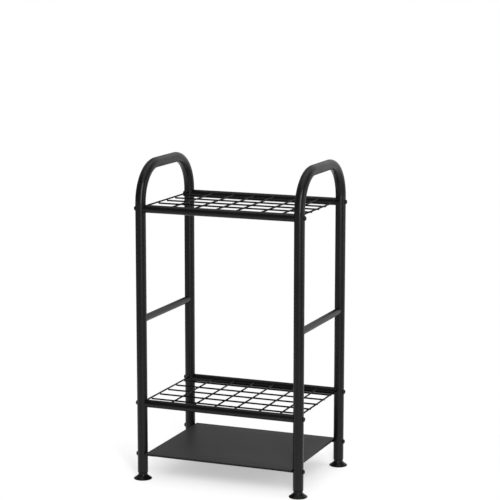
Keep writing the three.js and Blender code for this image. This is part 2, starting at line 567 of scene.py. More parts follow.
def filleted(corners: Sequence[Triple], closed: bool = False, steps: int = 4) -> np.ndarray:
    """Rounds the corners of a flat outline.

    Args:
        corners: two coordinates and a fillet radius for each corner.
        closed: whether the outline ends where it starts.
        steps: how many sides each fillet has.

    Returns:
        The points of the outline, one a row.
    """
    spots = np.array(corners, float)[:, :2]
    outline = []
    for i, (*_, fillet) in enumerate(corners):
        if fillet == 0 or (not closed and i in (0, len(corners) - 1)):
            outline.append(spots[i])
            continue
        before, after = spots[i - 1] - spots[i], spots[(i + 1) % len(spots)] - spots[i]
        reach_before, reach_after = np.linalg.norm(before), np.linalg.norm(after)
        before, after = before / reach_before, after / reach_after
        half = math.acos(float(np.clip(before @ after, -1, 1))) / 2
        reach = min(fillet / math.tan(half), reach_before / 2, reach_after / 2)
        inwards = (before + after) / np.linalg.norm(before + after)
        centre = spots[i] + inwards * reach / math.cos(half)
        arm = spots[i] + before * reach - centre
        last = spots[i] + after * reach - centre
        sweep = math.atan2(arm[0] * last[1] - arm[1] * last[0], arm @ last)
        for step in range(steps + 1):
            turn = sweep * step / steps
            cos, sin = math.cos(turn), math.sin(turn)
            outline.append(centre + (arm[0] * cos - arm[1] * sin, arm[0] * sin + arm[1] * cos))
    return np.array(outline)


def turned(name: str, outline: np.ndarray, sides: int, ends: Ends = Ends.CAPPED) -> bpy.types.Mesh:
    """Turns an outline of radius and height about Z.

    Args:
        name: the mesh's name.
        outline: radius and height, one point a row.
        sides: how many sides the turned piece has.
        ends: CAPPED for an outline from axis to axis, LOOPED for a closed one.

    Returns:
        The mesh.
    """
    angles = np.linspace(0, TURN, sides, endpoint=False)
    around = np.stack([np.cos(angles), np.sin(angles)], axis=1)
    rings = [
        np.column_stack([around * radius, np.full(sides, height)]) for radius, height in outline
    ]
    return skinned(name, rings, ends)


def smoothed(mesh: bpy.types.Mesh) -> bpy.types.Mesh:
    """Shades a mesh smooth, with a crease at each edge that turns sharply.

    Args:
        mesh: the mesh, which is changed.

    Returns:
        The same mesh.
    """
    shell = bmesh.new()
    shell.from_mesh(mesh)
    for face in shell.faces:
        face.smooth = True
    for edge in shell.edges:
        edge.smooth = edge.calc_face_angle(0) < math.radians(CREASE)
    shell.to_mesh(mesh)
    shell.free()
    return mesh


# Finishes


@dataclass(frozen=True)
class Finish:
    """How one of the record's material slots looks."""

    slot: str
    colour: Colour
    roughness: float
    specular: float
    metallic: float = 0.0
    use: str = "finish"

    def surface(self, graph: Graph, place: Value) -> dict[str, Any]:
        """What the finish sets of the shader, by socket: plain here, and varied by its kinds."""
        return {"Base Color": self.shade(1), "Roughness": self.roughness}

    def shade(self, times: float) -> Colour:
        """The colour made lighter or darker."""
        return tuple(channel * times for channel in self.colour)

    def clouded(self, graph: Graph, clouds: Value, shades: Span) -> Value:
        """The colour in soft clouds, from one shade to another."""
        return graph.mix(clouds.ramp(*CLOUD_RANGE), *map(self.shade, shades))

    def material(self) -> bpy.types.Material:
        """The finish as a material, which is made once.

        Returns:
            The material.
        """
        title = f"{self.slot}_{self.use}"
        known = bpy.data.materials.get(title)
        if known is not None:
            return known
        made = bpy.data.materials.new(title)
        made.use_nodes = True
        made.node_tree.nodes.clear()
        graph = Graph(made.node_tree)
        place = graph.add("ShaderNodeTexCoord", output="Object")
        sockets = {"Specular IOR Level": self.specular, "Metallic": self.metallic}
        sockets |= self.surface(graph, place)
        shader = graph.add("ShaderNodeBsdfPrincipled", {}, sockets)
        graph.add("ShaderNodeOutputMaterial", {}, {"Surface": shader})
        return made


@dataclass(frozen=True)
class PowderCoat(Finish):
    """Satin powder coat, with a fine orange peel and the slight waves of the tube below."""

    peel: float = 0.03 * MM
    peel_cells: float = 750.0
    wave: float = 0.12 * MM
    wave_cells: float = 60.0
    cloud_cells: float = 9.0
    cloud_shades: Span = (0.85, 1.15)
    cloud_roughness: float = 0.12
    speck_cells: float = 420.0
    speck_range: Span = (0.62, 0.74)
    speck_share: float = 0.35
    speck_shade: float = 1.9
    speck_roughness: float = 0.1
    rub_cells: float = 26.0
    rub_range: Span = (0.30, 0.42)
    rub_polish: float = 0.05

    def surface(self, graph: Graph, place: Value) -> dict[str, Any]:
        """Colour in faint clouds, roughness in clouds and specks, and two sizes of relief.

        Args:
            graph: the material's graph.
            place: the piece's own coordinates.

        Returns:
            A link for each socket of the shader that varies.
        """
        clouds = graph.noise(place, self.cloud_cells, detail=3)
        specks = graph.noise(place, self.speck_cells)
        rubs = graph.noise(place, self.rub_cells, detail=4)
        rubbed = (rubs * clouds).ramp(*self.rub_range)
        speckled = specks.ramp(*self.speck_range) * self.speck_share
        colour = self.clouded(graph, clouds, self.cloud_shades)
        colour = graph.mix(speckled, colour, self.shade(self.speck_shade))
        roughness = self.roughness + (clouds - NOISE_MIDDLE) * self.cloud_roughness
        roughness = roughness + (specks - NOISE_MIDDLE) * self.speck_roughness
        roughness = roughness - rubbed * self.rub_polish
        relief = graph.bump(graph.noise(place, self.wave_cells, detail=1), self.wave)
        relief = graph.bump(graph.noise(place, self.peel_cells, detail=1), self.peel, relief)
        return {"Base Color": colour, "Roughness": roughness, "Normal": relief}


@dataclass(frozen=True)
class TexturedCoat(Finish):
    """Fine textured powder coat on sheet, with painted shade that darkens its folded edge and
    underside below the top.
    """

    grain: float = 0.05 * MM
    grain_cells: float = 900.0
    grain_range: Span = (0.5, 0.7)
    grain_share: float = 0.3
    grain_shade: float = 1.5
    cloud_cells: float = 5.0
    cloud_shades: Span = (0.9, 1.12)
    cloud_roughness: float = 0.1
    streak_cells: Triple = (14, 160, 20)
    mark_range: Span = (0.60, 0.72)
    mark_clouds: Span = (0.45, 0.65)
    mark_share: float = 0.25
    mark_shade: float = 1.8
    mark_polish: float = 0.06
    dent: float = 0.4 * MM
    dent_cells: float = 11.0
    # painted shade: below these heights, under the sheet's top face, the colour falls to this
    # share of itself
    painted_shade_heights: Span = (83.9 * MM, 84.7 * MM)
    painted_edge_shade: float = 0.3

    def surface(self, graph: Graph, place: Value) -> dict[str, Any]:
        """Colour with grain, rub marks and painted shade round the folded edge, roughness that the
        marks polish, and grainy relief.

        Args:
            graph: the material's graph.
            place: the piece's own coordinates.

        Returns:
            A link for each socket of the shader that varies.
        """
        clouds = graph.noise(place, self.cloud_cells, detail=3)
        grain = graph.noise(place, self.grain_cells)
        streaks = graph.noise(graph.stretched(place, self.streak_cells), 1, detail=4)
        marks = streaks.ramp(*self.mark_range) * clouds.ramp(*self.mark_clouds)
        grains = grain.ramp(*self.grain_range) * self.grain_share
        # painted shade mask: 0 on the folded edge and underside, 1 on the top face
        top = graph.along(place, "Z").ramp(*self.painted_shade_heights)
        colour = self.clouded(graph, clouds, self.cloud_shades)
        colour = graph.mix(grains, colour, self.shade(self.grain_shade))
        colour = graph.mix(marks * self.mark_share, colour, self.shade(self.mark_shade))
        # painted shade darkens everything below the top face
        colour = graph.mix(top, self.shade(self.painted_edge_shade), colour)
        roughness = self.roughness + (clouds - NOISE_MIDDLE) * self.cloud_roughness
        roughness = roughness - marks * self.mark_polish
        relief = graph.bump(graph.noise(place, self.dent_cells, detail=1), self.dent)
        relief = graph.bump(grain, self.grain, relief)
        return {"Base Color": colour, "Roughness": roughness, "Normal": relief}


@dataclass(frozen=True)
class PlatedSteel(Finish):
    """Black plated steel, with fine turning lines and lighter spots."""

    lines: float = 0.01 * MM
    line_cells: Triple = (200, 200, 2400)
    spot_cells: float = 300.0
    spot_range: Span = (0.4, 0.75)
    spot_shades: Span = (0.8, 1.8)
    spot_roughness: float = 0.25

    def surface(self, graph: Graph, place: Value) -> dict[str, Any]:
        """Spotted colour and roughness over fine relief.

        Args:
            graph: the material's graph.
            place: the piece's own coordinates.

        Returns:
            A link for each socket of the shader that varies.
        """
        spots = graph.noise(place, self.spot_cells, detail=4)
        fine = graph.noise(graph.stretched(place, self.line_cells), 1)
        colour = graph.mix(spots.ramp(*self.spot_range), *map(self.shade, self.spot_shades))
        roughness = self.roughness + (spots - NOISE_MIDDLE) * self.spot_roughness
        relief = graph.bump(fine, self.lines)
        return {"Base Color": colour, "Roughness": roughness, "Normal": relief}


@dataclass(frozen=True)
class MouldedPlastic(Finish):
    """Smooth moulded plastic, with flow marks and a little dust low down."""

    grain: float = 0.015 * MM
    grain_cells: float = 1500.0
    flow_cells: float = 70.0
    flow_shades: Span = (0.85, 1.2)
    flow_roughness: float = 0.12
    dust_height: float = 6 * MM
    dust_range: Span = (0.4, 0.7)
    dust_share: float = 0.2
    dust_shade: float = 2.4
    dust_roughness: float = 0.2

    def surface(self, graph: Graph, place: Value) -> dict[str, Any]:
        """Colour with dust near the floor, roughness with flow marks, and a fine grain.

        Args:
            graph: the material's graph.
            place: the piece's own coordinates.

        Returns:
            A link for each socket of the shader that varies.
        """
        flow = graph.noise(place, self.flow_cells, detail=3)
        low = 1 - graph.along(place, "Z").ramp(0, self.dust_height)
        dust = low * flow.ramp(*self.dust_range)
        colour = self.clouded(graph, flow, self.flow_shades)
        colour = graph.mix(dust * self.dust_share, colour, self.shade(self.dust_shade))
        roughness = self.roughness + (flow - NOISE_MIDDLE) * self.flow_roughness
        roughness = roughness + dust * self.dust_roughness
        relief = graph.bump(graph.noise(place, self.grain_cells, detail=1), self.grain)
        return {"Base Color": colour, "Roughness": roughness, "Normal": relief}


COAT = PowderCoat("black_coat", (0.0031, 0.0031, 0.0032), 0.31, 0.24)
# painted shade: the wires get a darker, less glossy copy of the black coat, so they look darker
# than the tubes under the same light
SHADED_WIRE_COAT = PowderCoat("black_coat", (0.0022, 0.0022, 0.0022), 0.42, 0.06, use="on_wires")
PLATE_COAT = TexturedCoat("plate_coat", (0.0286, 0.0286, 0.0290), 0.44, 0.12)
PLATED = PlatedSteel("black_zinc", (0.005, 0.005, 0.005), 0.25, 0.18)
PLASTIC = MouldedPlastic("black_plastic", (0.004, 0.004, 0.004), 0.2, 0.14)


@dataclass
class Piece:
    """One finished piece of the rack."""

    name: str
    mesh: bpy.types.Mesh
    finish: Finish
    body: str
    stands_for: Sequence[str] = ()

    def hand_over(self) -> bpy.types.Object:
        """Dresses the mesh, puts it on its body and hides the solids that it stands for.

        Returns:
            The finished object.
        """
        self.mesh.materials.clear()
        self.mesh.materials.append(self.finish.material())
        made = shown(self.name, smoothed(self.mesh))
        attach(made, self.body)
        if self.stands_for:
            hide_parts(*self.stands_for)
        LOG.info("%s: %d faces on %s", self.name, len(self.mesh.polygons), self.body)
        return made


# Recipes for what repeats or follows a path


def wire_recipe() -> Recipe:
    """A straight wire at each point of the base mesh, with slightly rounded ends.

    Returns:
        The recipe.
    """
    recipe = Recipe(
        "wire_row",
        {"Wire Length": float, "Wire Diameter": float, "End Length": float, "End Share": float,
         "Sides": int, "Turn": float},
    )
    add = recipe.graph.add
    line = add("GeometryNodeCurvePrimitiveLine", {}, {"End": (1.0, 0.0, 0.0)})
    stations = {"Curve": line, "Count": WIRE_STATIONS}
    line = add("GeometryNodeResampleCurve", {"mode": "COUNT"}, stations)
    index, centre = add("GeometryNodeInputIndex"), (WIRE_STATIONS - 1) / 2
    half = (index > centre) * 2 - 1
    step = abs(index - centre) - 0.5
    before_end, at_end, past_first = step < 1.5, step > 1.5, step > 0.5
    back = before_end * recipe["End Length"] * (2 - step) / 2
    along = half * (recipe["Wire Length"] / 2 - back)
    place = add("ShaderNodeCombineXYZ", {}, {"X": along})
    line = add("GeometryNodeSetPosition", {}, {"Geometry": line, "Position": place})
    narrowing = 1 - recipe["End Share"]
    share = 1 - narrowing * at_end - narrowing * WIRE_SHOULDER_SHARE * past_first
    ring = add(
        "GeometryNodeCurvePrimitiveCircle", {},
        {"Resolution": recipe["Sides"], "Radius": recipe["Wire Diameter"] / 2},
    )
    wire = add(
        "GeometryNodeCurveToMesh", {},
        {"Curve": line, "Profile Curve": ring, "Scale": share, "Fill Caps": True},
    )
    turn = add("ShaderNodeCombineXYZ", {}, {"Z": recipe["Turn"]})
    wires = add(
        "GeometryNodeInstanceOnPoints", {},
        {"Points": recipe["Base"], "Instance": wire, "Rotation": turn},
    )
    return recipe.end(wires)


def nugget_recipe() -> Recipe:
    """A flattened blob of weld at each point of the base mesh, no two quite alike.

    Returns:
        The recipe.
    """
    recipe = Recipe("weld_nuggets", {"Radius": float, "Flatness": float, "Seed": int})
    graph, add = recipe.graph, recipe.graph.add
    ball = add(
        "GeometryNodeMeshUVSphere", {},
        {"Segments": NUGGET_SIDES, "Rings": NUGGET_RINGS, "Radius": recipe["Radius"]},
    )
    size = graph.random(*NUGGET_SPREAD, recipe["Seed"])
    angle = graph.random(0.0, TURN, recipe["Seed"] + 1)
    scale = add("ShaderNodeCombineXYZ", {}, {"X": size, "Y": 2 - size, "Z": recipe["Flatness"]})
    turn = add("ShaderNodeCombineXYZ", {}, {"Z": angle})
    nuggets = add(
        "GeometryNodeInstanceOnPoints", {},
        {"Points": recipe["Base"], "Instance": ball, "Rotation": turn, "Scale": scale},
    )
    return recipe.end(nuggets)


def bead_recipe() -> Recipe:
    """A rippled weld bead along each path of the base mesh.

    Returns:
        The recipe.
    """
    recipe = Recipe(
        "weld_beads", {"Radius": float, "Ripples": float, "Ripple Depth": float, "Steps": int}
    )
    add = recipe.graph.add
    path = add("GeometryNodeMeshToCurve", {}, {"Mesh": recipe["Base"]})
    stations = {"Curve": path, "Count": recipe["Steps"]}
    path = add("GeometryNodeResampleCurve", {"mode": "COUNT"}, stations)
    along = add("GeometryNodeSplineParameter", output="Factor")
    ripple = abs((along * recipe["Ripples"] * math.pi).sine())
    share = 1 - recipe["Ripple Depth"] * (1 - ripple)
    ring = add(
        "GeometryNodeCurvePrimitiveCircle", {},
        {"Resolution": BEAD_SIDES, "Radius": recipe["Radius"]},
    )
    beads = add(
        "GeometryNodeCurveToMesh", {},
        {"Curve": path, "Profile Curve": ring, "Scale": share, "Fill Caps": True},
    )
    return recipe.end(beads)


def bolt_recipe() -> Recipe:
    """A bolt at each point of the base mesh, turned by its attribute and rolled at random.

    Returns:
        The recipe.
    """
    recipe = Recipe("bolts", {"Bolt": bpy.types.Object, "Seed": int})
    add = recipe.graph.add
    bolt = add("GeometryNodeObjectInfo", {}, {"Object": recipe["Bolt"]}, "Geometry")
    turn = add(
        "GeometryNodeInputNamedAttribute", {"data_type": "FLOAT"}, {"Name": "turn"}, "Attribute"
    )
    roll = recipe.graph.random(0.0, TURN, recipe["Seed"])
    pose = add("ShaderNodeCombineXYZ", {}, {"X": roll, "Z": turn})
    bolts = add(
        "GeometryNodeInstanceOnPoints", {},
        {"Points": recipe["Base"], "Instance": bolt, "Rotation": pose},
    )
    return recipe.end(bolts)


# Bars that end on a leg


@dataclass
class CopedBar:
    """A round bar whose two ends are shaped to sit on upright legs."""

    axis: Axis
    centre: Vector
    radius: float
    leg_distance: float
    leg_radius: float = 16 * MM
    seam: float = 0.15 * MM
    sides: int = 48

    def ring(self, radius: float, end: int, back: float = 0.0) -> np.ndarray:
        """A ring round the bar that follows the leg's surface.

        Args:
            radius: the ring's radius.
            end: -1 or 1, the end that it lies at.
            back: how far it lies from the leg's surface, along the bar.

        Returns:
            The ring's points.
        """
        angles = np.linspace(0, TURN, self.sides, endpoint=False)
        aside, up = radius * np.cos(angles), radius * np.sin(angles)
        sunk = np.sqrt((self.leg_radius + self.seam) ** 2 - aside**2)
        return self.placed(end * (self.leg_distance - sunk - back), aside, up)

    def flat_ring(self, radius: float, along: float) -> np.ndarray:
        """A ring square to the bar.

        Args:
            radius: the ring's radius.
            along: how far it lies from the bar's middle.

        Returns:
            The ring's points.
        """
        angles = np.linspace(0, TURN, self.sides, endpoint=False)
        level = np.full(self.sides, along)
        return self.placed(level, radius * np.cos(angles), radius * np.sin(angles))

    def placed(self, along: np.ndarray, aside: np.ndarray, up: np.ndarray) -> np.ndarray:
        """Turns distances along, beside and above the bar's centre into places."""
        columns = (along, aside, up) if self.axis is Axis.X else (aside, along, up)
        return np.stack(columns, axis=1) + np.array(self.centre)


@dataclass
class Rail:
    """A rail with a welded threaded plug in each end, bolted between two legs."""

    level: Level
    face: Face
    lip: float = 0.35 * MM
    bore_radius: float = 4.3 * MM
    bore_depth: float = 25 * MM
    bore_mouth: float = 0.5 * MM
    drill_point: float = 2.2 * MM
    stations: int = 8

    @property
    def node(self) -> str:
        """The solid that this rail stands for."""
        return f"{self.level.value}_{self.face.name.lower()}_rail"

    def bar(self) -> CopedBar:
        """The rail's outer shape."""
        radius = extent(self.node).z / 2
        return CopedBar(Axis.X, middle(self.node), radius, middle("right_hoop").x)

    def end_rings(self, bar: CopedBar, end: int) -> list[np.ndarray]:
        """The rings of one end, from the bottom of its bore out to the rail's surface.

        Args:
            bar: the rail's outer shape.
            end: -1 or 1.

        Returns:
            The rings.
        """
        floor = end * (bar.leg_distance - bar.leg_radius - self.bore_depth)
        return [
            bar.flat_ring(0, floor - end * self.drill_point),
            bar.flat_ring(self.bore_radius, floor),
            bar.ring(self.bore_radius, end, self.bore_mouth),
            bar.ring(self.bore_radius + self.bore_mouth, end),
            bar.ring(bar.radius - self.lip, end),
            bar.ring(bar.radius - self.lip * RIM_SHARE, end, self.lip * RIM_SHARE),
            bar.ring(bar.radius, end, self.lip),
        ]

    def build(self) -> Piece:
        """The finished rail.

        Returns:
            The piece.
        """
        bar = self.bar()
        reach = bar.leg_distance - bar.leg_radius - bar.radius
        stations = np.linspace(-reach, reach, self.stations)
        between = [bar.flat_ring(bar.radius, x) for x in stations]
        rings = [*self.end_rings(bar, -1), *between, *reversed(self.end_rings(bar, 1))]
        mesh = skinned(self.node, rings, Ends.CAPPED)
        return Piece(f"{self.node}_tube", mesh, COAT, "frame", [self.node])


@dataclass
class CrossBar:
    """The open tube across a hoop, welded to both of its legs."""

    side: Side
    wall: float = 1.5 * MM
    lip: float = 0.3 * MM
    stations: int = 6
    bead_radius: float = 1.9 * MM
    bead_rise: float = 0.3 * MM
    bead_ripples: int = 30
    bead_depth_share: float = 0.16
    bead_steps: int = 240

    @property
    def node(self) -> str:
        """The solid that this bar stands for."""
        return f"{self.side.name.lower()}_cross_bar"

    def bar(self) -> CopedBar:
        """The bar's outer shape."""
        radius = extent(self.node).z / 2
        return CopedBar(Axis.Y, middle(self.node), radius, CORNERS[-1].place.y, seam=0.0)

    def build(self) -> Piece:
        """The finished tube.

        Returns:
            The piece.
        """
        bar = self.bar()
        inner, lip = bar.radius - self.wall, self.lip
        reach = bar.leg_distance - bar.leg_radius - bar.radius
        stations = np.linspace(-reach, reach, self.stations)
        rings = [
            bar.ring(bar.radius - lip, -1),
            bar.ring(bar.radius, -1, lip),
            *[bar.flat_ring(bar.radius, y) for y in stations],
            bar.ring(bar.radius, 1, lip),
            bar.ring(bar.radius - lip, 1),
            bar.ring(inner, 1),
            *[bar.flat_ring(inner, y) for y in reversed(stations)],
            bar.ring(inner, -1),
        ]
        mesh = skinned(self.node, rings, Ends.LOOPED)
        return Piece(f"{self.node}_tube", mesh, COAT, "frame", [self.node])

    def bead_paths(self) -> list[np.ndarray]:
        """The weld's path round each end."""
        bar = self.bar()
        return [bar.ring(bar.radius + self.bead_rise, end, self.bead_rise) for end in (-1, 1)]


# Hoops, grids, plate, bolts and feet


@dataclass
class Hoop:
    """A hoop: one tube bent into two legs and a flat top, drilled for its bolts."""

    side: Side
    diameter: float = 32 * MM
    wall: float = 1.5 * MM
    bend_radius: float = 112 * MM
    flattening_share: float = 0.025
    swelling_share: float = 0.006
    bend_onset: float = 2.2
    lip: float = 0.4 * MM
    end_lips: float = 4.0
    sides: int = 64
    bend_steps: int = 28
    hole_radius: float = 4.3 * MM
    hole_room: float = 6 * MM
    hole_sides: int = 24

    @property
    def node(self) -> str:
        """The solid that this hoop stands for."""
        return f"{self.side.name.lower()}_hoop"

    def bolt_heights(self) -> list[float]:
        """The heights of the bolts in a leg."""
        corner = f"front_{self.side.name.lower()}"
        return [middle(f"{place}_bolt_{corner}").z for place in BoltSet.PLACES]

    def stations(self) -> list[tuple[float, float, float, float]]:
        """The tube's stations: Y and Z of its middle, the angle turned, and the share bent.

        Returns:
            The stations, from the front leg's end over the top to the back leg's end.
        """
        low, high = box(self.node)
        leg = (high.y - low.y - self.diameter) / 2
        bend = high.z - self.diameter / 2 - self.bend_radius
        rooms = [h + s * self.hole_room for h in self.bolt_heights() for s in (-1, 1)]
        heights = sorted([low.z, low.z + self.lip * self.end_lips, *rooms])
        turns = np.linspace(0, math.pi / 2, self.bend_steps + 1)
        front = [(-leg, z, 0.0, 0.0) for z in heights]
        for turn in turns:
            y = -leg + self.bend_radius * (1 - math.cos(turn))
            z = bend + self.bend_radius * math.sin(turn)
            front.append((y, z, turn, min(1.0, self.bend_onset * math.sin(2 * turn))))
        back = [(-y, z, math.pi - turn, share) for y, z, turn, share in reversed(front)]
        return front + back

    def rings(self, radius: float, inset: float = 0.0) -> list[np.ndarray]:
        """Rings round the tube's middle line at each station.

        Args:
            radius: the radius of the wall that they follow.
            inset: how far the end rings lie inside the tube's ends.

        Returns:
            The rings.
        """
        angles = np.linspace(0, TURN, self.sides, endpoint=False)
        stations, x = self.stations(), middle(self.node).x
        rings = []
        for place, (y, z, turn, share) in enumerate(stations):
            if place in (0, len(stations) - 1):
                z += inset
            across = radius * (1 + self.swelling_share * share) * np.cos(angles)
            outwards = radius * (1 - self.flattening_share * share) * np.sin(angles)
            columns = (
                across + x,
                y - outwards * math.cos(turn),
                z + outwards * math.sin(turn),
            )
            rings.append(np.stack(columns, axis=1))
        return rings

    def end_rings(self, place: int) -> list[np.ndarray]:
        """The rounded rim of one end of the tube, from the outer wall to the inner one.

        Args:
            place: 0 for the front leg's end and -1 for the back leg's.

        Returns:
            The rings.
        """
        outer, inner, lip = self.diameter / 2, self.diameter / 2 - self.wall, self.lip
        steps = [
            (outer - RIM_SHARE * lip, RIM_SHARE * lip),
            (outer - lip, 0.0),
            (inner + lip, 0.0),
            (inner + RIM_SHARE * lip, RIM_SHARE * lip),
        ]
        return [self.rings(radius, inset)[place] for radius, inset in steps]

    def drill(self) -> bpy.types.Mesh:
        """The holes through both legs.

        Returns:
            A mesh of round bars to cut from the tube.
        """
        reach, radius = self.diameter / 2 + self.wall, self.hole_radius
        outline = np.array([(0, -reach), (radius, -reach), (radius, reach), (0, reach)])
        hole = turned("hole", outline, self.hole_sides)
        x, legs = middle(self.node).x, (-CORNERS[-1].place.y, CORNERS[-1].place.y)
        places = [(x, y, z) for y in legs for z in self.bolt_heights()]
        return joined("holes", [moved(hole, place, math.pi / 2, "Y") for place in places])

    def build(self) -> Piece:
        """The finished tube.

        Returns:
            The piece.
        """
        outer = self.rings(self.diameter / 2, self.lip)
        inner = self.rings(self.diameter / 2 - self.wall, self.lip)
        rings = [*outer, *self.end_rings(-1), *reversed(inner), *reversed(self.end_rings(0))]
        tube = skinned(self.node, rings, Ends.LOOPED)
        tube = worked(tube, self.drill(), "DIFFERENCE")
        return Piece(f"{self.node}_tube", tube, COAT, "frame", [self.node])


@dataclass
class WireGrid:
    """A grid of long wires with cross wires welded on top of them."""

    level: Level
    long_count: int = 5
    cross_count: int = 8
    sides: int = 16
    coat: float = 0.25 * MM
    sink: float = 0.9 * MM
    reach_out: float = 1.0 * MM
    end_length: float = 0.7 * MM
    end_share: float = 0.72
    nugget_radius: float = 2.4 * MM
    nugget_flatness: float = 0.4
    foot_radius: float = 2.8 * MM
    foot_flatness: float = 0.8
    seed: int = 5

    def nodes(self, kind: str, count: int) -> list[str]:
        """The names of the long or cross wires' solids."""
        return [f"{self.level.value}_{kind}_wire_{i + 1}" for i in range(count)]

    def places(self, wires: Sequence[str], axis: Axis) -> list[Vector]:
        """The middles of wires, with the cross wires pressed into the long ones by the weld."""
        drop = Vector((0, 0, self.sink if axis is Axis.Y else 0))
        return [middle(wire) - drop for wire in wires]

    def row(self, recipe: Recipe, wires: Sequence[str], axis: Axis) -> bpy.types.Mesh:
        """A row of wires of one length.

        Args:
            recipe: the wire recipe.
            wires: the solids that show where the wires lie.
            axis: the direction that they lie in.

        Returns:
            The mesh of the row.
        """
        size = extent(wires[0])
        length = size.x + 2 * self.reach_out if axis is Axis.X else size.y + 2 * self.coat
        values = {
            "Wire Length": float(length),
            "Wire Diameter": float(size.z) + 2 * self.coat,
            "End Length": self.end_length,
            "End Share": self.end_share,
            "Sides": self.sides,
            "Turn": 0.0 if axis is Axis.X else math.pi / 2,
            "Finish": SHADED_WIRE_COAT.material(),
        }
        return recipe.run("wires", points_mesh("wires", self.places(wires, axis)), values)

    def nuggets(
        self, recipe: Recipe, radius: float, flatness: float, places: Sequence[Vector]
    ) -> bpy.types.Mesh:
        """Weld blobs of one size.

        Args:
            recipe: the weld nugget recipe.
            radius: the radius of a blob.
            flatness: its height as a share of its width.
            places: the middles of the blobs.

        Returns:
            The mesh of the blobs.
        """
        values = {
            "Radius": radius,
            "Flatness": flatness,
            "Seed": self.seed,
            "Finish": SHADED_WIRE_COAT.material(),
        }
        return recipe.run("nuggets", points_mesh("nuggets", places), values)

    def build(self, wires: Recipe, nuggets: Recipe) -> Piece:
        """The finished grid.

        Args:
            wires: the wire recipe.
            nuggets: the weld nugget recipe.

        Returns:
            The piece.
        """
        longs = self.nodes("long", self.long_count)
        crosses = self.nodes("cross", self.cross_count)
        ends, inner = [crosses[0], crosses[-1]], crosses[1:-1]
        lift = (middle(crosses[0]).z + middle(longs[0]).z - self.sink) / 2
        crossings = [
            Vector((middle(cross).x, middle(long).y, lift)) for cross in crosses for long in longs
        ]
        feet = []
        for cross in inner:
            low, high = box(cross)
            foot = low.z - self.sink + self.foot_radius / 2
            feet += [Vector((middle(cross).x, y, foot)) for y in (low.y, high.y)]
        parts = [
            self.row(wires, longs, Axis.X),
            self.row(wires, inner, Axis.Y),
            self.row(wires, ends, Axis.Y),
            self.nuggets(nuggets, self.nugget_radius, self.nugget_flatness, crossings),
            self.nuggets(nuggets, self.foot_radius, self.foot_flatness, feet),
        ]
        mesh = joined(f"{self.level.value}_wire_grid", parts)
        return Piece(mesh.name, mesh, SHADED_WIRE_COAT, "frame", [*longs, *crosses])


